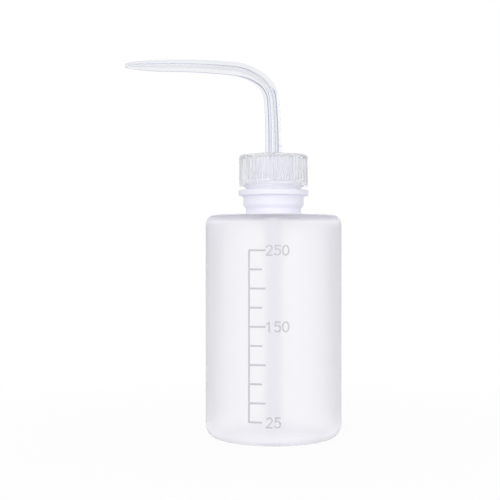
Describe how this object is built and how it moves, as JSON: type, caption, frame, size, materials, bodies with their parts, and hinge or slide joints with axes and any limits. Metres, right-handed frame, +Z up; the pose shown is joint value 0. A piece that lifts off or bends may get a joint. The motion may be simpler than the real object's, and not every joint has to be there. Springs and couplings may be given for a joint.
{
  "type": "wash bottle",
  "caption": "Squeeze wash bottle with raised volume marks, a ribbed clear screw cap, a sealing plug, a bent swivelling spout and a dip tube.",
  "frame": {"origin": "on the bottle's axis, in the plane of the standing ring", "axes": "+Z up along the bottle, spout along -X at rest, graduations on the -Y side"},
  "size_m": [0.1011, 0.0636, 0.1767],
  "materials": {
    "frosted_polyethylene": "frosted, milky translucent",
    "clear_polypropylene": "clear gloss with a faint blue tint",
    "plug_polyethylene": "satin, milky translucent",
    "spout_polyethylene": "smooth, hazy clear",
    "tube_polyethylene": "satin, hazy"
  },
  "bodies": {
    "bottle": {"bottle": "frosted_polyethylene"},
    "head": {"inner_plug": "plug_polyethylene", "dip_tube": "tube_polyethylene"},
    "cap": {"screw_cap": "clear_polypropylene"},
    "spout": {"spout": "spout_polyethylene"}
  },
  "joints": [
    {"name": "cap_turn", "type": "hinge", "parent": "head", "child": "cap", "pos_m": [0, 0, 0.1245], "axis": [0, 0, 1], "range_deg": [0, 540]},
    {"name": "head_rise", "type": "slide", "parent": "bottle", "child": "head", "axis": [0, 0, 1], "range_m": [0, 0.00635]},
    {"name": "spout_swivel", "type": "hinge", "parent": "head", "child": "spout", "pos_m": [0, 0, 0.1302], "axis": [0, 0, 1], "continuous": true}
  ],
  "couplings": [
    {"joint": "head_rise", "follows": "cap_turn", "m_per_rad": 0.00067322}
  ]
}
